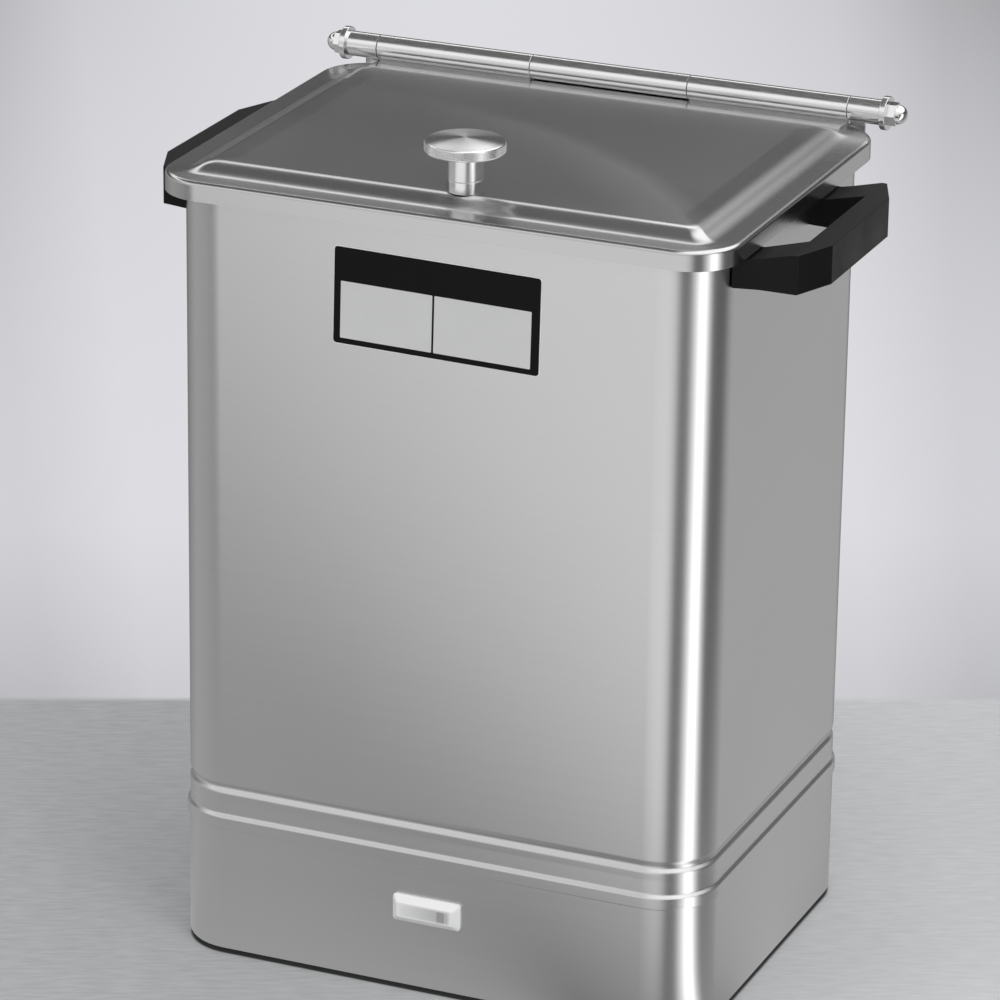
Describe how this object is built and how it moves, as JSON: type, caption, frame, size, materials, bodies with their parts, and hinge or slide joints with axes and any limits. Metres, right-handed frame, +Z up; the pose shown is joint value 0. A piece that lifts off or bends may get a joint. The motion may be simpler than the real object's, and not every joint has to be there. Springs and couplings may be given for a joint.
{
  "type": "hot pack heater",
  "caption": "Tall rounded water tank in a brushed jacket on a low base, with a hinged lid, side handles, a pilot lamp and a lift-out wire rack, for heating packs.",
  "frame": {"origin": "on the surface it stands on, under the middle of its whole outline (the body's own middle is 8 mm left of it and 4.5 mm in front of it)", "axes": "+Z up; the front with the plate and the lamp faces -Y; +X to the right as seen from the front"},
  "size_m": [0.325, 0.227, 0.4117],
  "materials": {
    "stainless_sheet": "brushed stainless sheet",
    "stainless_bright": "bright stainless",
    "fasteners": "plain steel fasteners",
    "element_sheath": "dull heat-tinted sheath",
    "brass": "turned",
    "rubber": "moulded",
    "label_plate": "printed plate",
    "white_lens": "translucent moulded lens",
    "white_plastic": "moulded",
    "neon_glass": "clear",
    "glass_fibre": "fibre blanket",
    "black_plastic": "satin moulded",
    "brown_plastic": "moulded",
    "grey_plastic": "moulded",
    "lead_insulation": "silicone sleeve"
  },
  "bodies": {
    "base": {"outer_jacket": "stainless_sheet", "base_skirt": "stainless_sheet", "base_floor_plate": "stainless_sheet", "rubber_feet": "rubber", "floor_plate_screws": "fasteners", "front_label_plate": "label_plate", "pilot_lamp_lens": "white_lens", "pilot_lamp_housing": "white_plastic", "pilot_lamp_bulb": "neon_glass", "pilot_lamp_clip": "stainless_sheet", "tank_front_wall": "stainless_sheet", "tank_rear_wall": "stainless_sheet", "tank_floor": "stainless_sheet", "tank_rim": "stainless_sheet", "insulation_blanket": "glass_fibre", "hinge_body_leaf": "stainless_bright", "hinge_rod": "stainless_bright", "hinge_end_flanges": "stainless_bright", "hinge_acorn_nuts": "stainless_bright", "hinge_rivets": "fasteners", "handle_right": "black_plastic", "handle_left": "black_plastic", "handle_backing_plates": "stainless_sheet", "handle_screws": "fasteners", "heating_element": "element_sheath", "element_bushings": "brass", "element_gaskets": "rubber", "element_nuts": "brass", "thermostat_case": "brown_plastic", "thermostat_bracket": "stainless_sheet", "thermostat_sensor": "stainless_bright", "sensor_gland": "brass", "sensor_gland_nut": "brass", "sensor_clips": "stainless_bright", "terminal_block": "white_plastic", "inner_screws": "fasteners", "wiring_leads": "lead_insulation", "cord_gland": "grey_plastic", "cord_gland_cap": "grey_plastic", "cord_gland_locknut": "grey_plastic"},
    "lid": {"lid_pan": "stainless_sheet", "lid_knob": "stainless_bright", "lid_knob_spacer": "stainless_bright", "lid_knob_washer": "fasteners", "lid_knob_screw": "fasteners", "hinge_lid_leaf": "stainless_bright"},
    "rack": {"rack_dividers": "stainless_bright", "rack_side_rails": "stainless_bright", "rack_floor_rods": "stainless_bright", "rack_legs": "stainless_bright"},
    "dial": {"thermostat_dial": "grey_plastic"}
  },
  "joints": [
    {"name": "lid_hinge", "type": "hinge", "parent": "base", "child": "lid", "pos_m": [-0.008, 0.1019, 0.3897], "axis": [-1, 0, 0], "range_deg": [0, 105]},
    {"name": "rack_lift", "type": "slide", "parent": "base", "child": "rack", "axis": [0, 0, 1], "range_m": [0, 0.06]},
    {"name": "dial_turn", "type": "hinge", "parent": "base", "child": "dial", "pos_m": [-0.068, -0.0274, 0.01], "axis": [0, 0, 1], "range_deg": [0, 270]}
  ]
}
